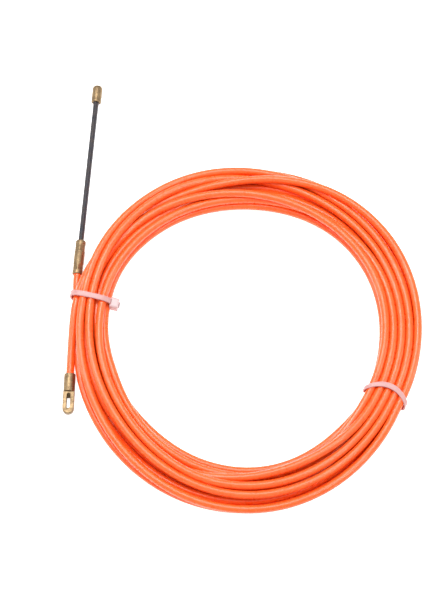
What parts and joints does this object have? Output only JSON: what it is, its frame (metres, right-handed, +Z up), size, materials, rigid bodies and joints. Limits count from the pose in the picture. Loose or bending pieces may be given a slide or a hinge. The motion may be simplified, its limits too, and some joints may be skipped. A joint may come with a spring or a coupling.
{
  "type": "coiled fish tape",
  "caption": "Round nylon wire-pulling tape laid in a loose coil and held by cable ties, with a slotted brass eye at one end and a bendable spring leader at the other.",
  "frame": {"origin": "bottom centre of the whole object's box, on the surface the coil lies on", "axes": "+Z up from the surface, +Y along the spring leader towards its tip, +X towards the side away from the leader"},
  "size_m": [0.178, 0.2285, 0.0132],
  "materials": {
    "tape": "glossy drawn nylon",
    "brass": "turned and crimped brass",
    "spring": "dark oiled spring steel",
    "tie": "natural translucent nylon"
  },
  "bodies": {
    "coiled_tape": {"tape_coil": "tape", "tape_eye_tail": "tape", "tape_leader_tail": "tape", "pulling_eye": "brass", "leader_ferrule": "brass", "leader_spring_1": "spring", "left_tie": "tie", "right_tie": "tie"},
    "leader_length_2": {"leader_spring_2": "spring"},
    "leader_length_3": {"leader_spring_3": "spring"},
    "leader_length_4": {"leader_spring_4": "spring"},
    "leader_length_5": {"leader_spring_5": "spring"},
    "leader_length_6": {"leader_spring_6": "spring"},
    "leader_length_7": {"leader_spring_7": "spring", "leader_tip": "brass"}
  },
  "joints": [
    {"name": "leader_bend_1", "type": "hinge", "parent": "coiled_tape", "child": "leader_length_2", "pos_m": [-0.08109, 0.03785, 0.00265], "axis": [0, 0, 1], "range_deg": [-15, 15], "stiffness_Nm_per_rad": 0.004},
    {"name": "leader_bend_2", "type": "hinge", "parent": "leader_length_2", "child": "leader_length_3", "pos_m": [-0.08023, 0.04894, 0.00265], "axis": [0, 0, 1], "range_deg": [-15, 15], "stiffness_Nm_per_rad": 0.004},
    {"name": "leader_bend_3", "type": "hinge", "parent": "leader_length_3", "child": "leader_length_4", "pos_m": [-0.07937, 0.06004, 0.00265], "axis": [0, 0, 1], "range_deg": [-15, 15], "stiffness_Nm_per_rad": 0.004},
    {"name": "leader_bend_4", "type": "hinge", "parent": "leader_length_4", "child": "leader_length_5", "pos_m": [-0.07851, 0.07113, 0.00265], "axis": [0, 0, 1], "range_deg": [-15, 15], "stiffness_Nm_per_rad": 0.004},
    {"name": "leader_bend_5", "type": "hinge", "parent": "leader_length_5", "child": "leader_length_6", "pos_m": [-0.07765, 0.08223, 0.00265], "axis": [0, 0, 1], "range_deg": [-15, 15], "stiffness_Nm_per_rad": 0.004},
    {"name": "leader_bend_6", "type": "hinge", "parent": "leader_length_6", "child": "leader_length_7", "pos_m": [-0.07679, 0.09333, 0.00265], "axis": [0, 0, 1], "range_deg": [-15, 15], "stiffness_Nm_per_rad": 0.004}
  ],
  "couplings": [
    {"joint": "leader_bend_2", "follows": "leader_bend_1", "ratio": 1},
    {"joint": "leader_bend_3", "follows": "leader_bend_1", "ratio": 1},
    {"joint": "leader_bend_4", "follows": "leader_bend_1", "ratio": 1},
    {"joint": "leader_bend_5", "follows": "leader_bend_1", "ratio": 1},
    {"joint": "leader_bend_6", "follows": "leader_bend_1", "ratio": 1}
  ]
}
